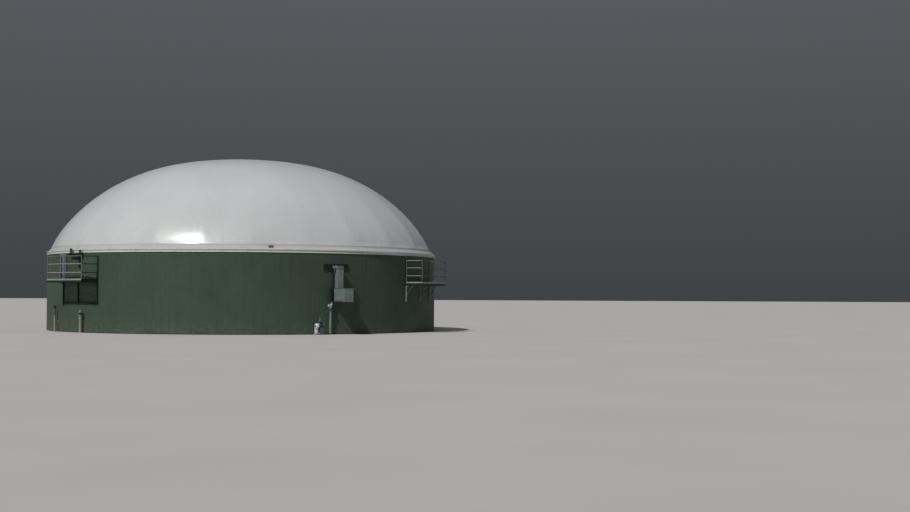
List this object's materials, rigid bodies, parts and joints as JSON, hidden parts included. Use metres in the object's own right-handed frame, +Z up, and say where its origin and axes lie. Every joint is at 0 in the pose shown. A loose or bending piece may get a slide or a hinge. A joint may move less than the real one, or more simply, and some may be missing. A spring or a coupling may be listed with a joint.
{
  "type": "biogas digester",
  "caption": "Round concrete digester tank with green sheet cladding, a domed gas membrane roof clamped at its rim, service platforms, a gas relief unit and pipework.",
  "frame": {"origin": "on the tank's upright axis, at ground level under the floor", "axes": "+Z up, -Y towards the side between the two service platforms, +X to the right seen from there"},
  "size_m": [19.1812, 19.1429, 8.4],
  "materials": {
    "concrete": "cast grey concrete",
    "cladding": "dark green coated trapezoidal steel sheet over insulation",
    "membrane": "off-white coated polyester membrane, satin gloss",
    "skirt": "white coated membrane skirt",
    "rail_steel": "stainless clamp rail",
    "galvanised": "hot-dip galvanised steel, dull",
    "grating_steel": "galvanised bar grating",
    "cabinet": "light grey painted sheet steel",
    "duct_steel": "dull stainless sheet steel",
    "dark_steel": "near-black painted steel",
    "white_plastic": "white plastic",
    "grey_pipe": "light grey pipe",
    "motor_blue": "dark blue painted motor",
    "pale_blue": "pale blue plastic",
    "valve_metal": "dull metal valve body"
  },
  "bodies": {
    "root": {"tank_floor": "concrete", "tank_wall_1": "concrete", "tank_wall_2": "concrete", "tank_wall_3": "concrete", "tank_wall_4": "concrete", "cladding_1": "cladding", "cladding_2": "cladding", "cladding_3": "cladding", "cladding_4": "cladding", "cladding_5": "cladding", "cladding_6": "cladding", "roof_membrane": "membrane", "membrane_skirt": "skirt", "clamp_rail": "rail_steel", "left_platform_frame": "galvanised", "left_platform_grating": "grating_steel", "left_platform_front_railing": "galvanised", "left_platform_left_railing": "galvanised", "left_platform_right_railing": "galvanised", "wall_cabinet": "cabinet", "right_platform_frame": "galvanised", "right_platform_grating": "grating_steel", "right_platform_front_railing": "galvanised", "right_platform_left_railing": "galvanised", "right_platform_right_railing": "galvanised", "rope_guide": "dark_steel", "hand_winch": "dark_steel", "relief_header_plate": "dark_steel", "relief_riser_duct": "duct_steel", "relief_branch_pipe": "duct_steel", "relief_valve_box": "duct_steel", "relief_valve_bracket": "galvanised", "relief_side_pipe": "dark_steel", "relief_drain_elbow": "white_plastic", "drain_collar": "dark_steel", "drain_pipe": "grey_pipe", "blower_housing": "white_plastic", "blower_motor": "motor_blue", "blower_outlet": "pale_blue", "blower_air_pipe": "pale_blue", "riser_pipe_1": "grey_pipe", "riser_valve_1": "valve_metal", "riser_pipe_2": "grey_pipe", "riser_valve_2": "valve_metal", "roof_air_outlet": "dark_steel"}
  },
  "joints": []
}
